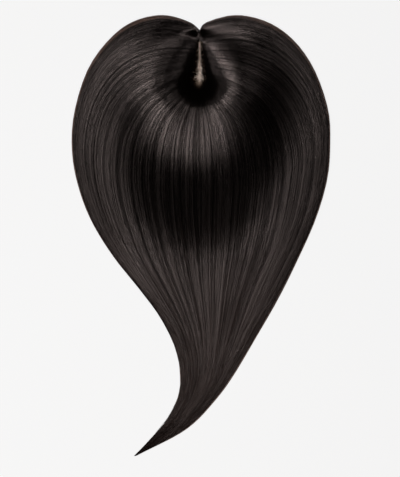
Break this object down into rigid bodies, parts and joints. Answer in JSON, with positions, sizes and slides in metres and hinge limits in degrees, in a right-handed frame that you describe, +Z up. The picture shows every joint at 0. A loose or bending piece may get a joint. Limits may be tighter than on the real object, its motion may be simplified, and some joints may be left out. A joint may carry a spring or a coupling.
{
  "type": "hair topper",
  "caption": "Hair topper laid out flat: long straight dark hair on a thin domed cloth base, parted at the front, spread in a heart and drawn to a curved tail, with snap clips.",
  "frame": {"origin": "middle of the box around the laid hair, on the surface that it lies on", "axes": "+Z up from that surface, +Y towards the front of the topper where the parting starts, the tail towards -Y, +X to the right seen from above with the front away"},
  "size_m": [0.231, 0.3948, 0.0584],
  "materials": {
    "base_cloth": "fine silk-like cloth, skin coloured",
    "dark_hair": "straight natural hair, very dark brown, soft gloss",
    "clip_metal": "dark brown lacquer, satin"
  },
  "bodies": {
    "root": {"base": "base_cloth", "hair": "dark_hair", "clip_front": "clip_metal", "clip_back": "clip_metal", "clip_left": "clip_metal", "clip_right": "clip_metal"}
  },
  "joints": []
}
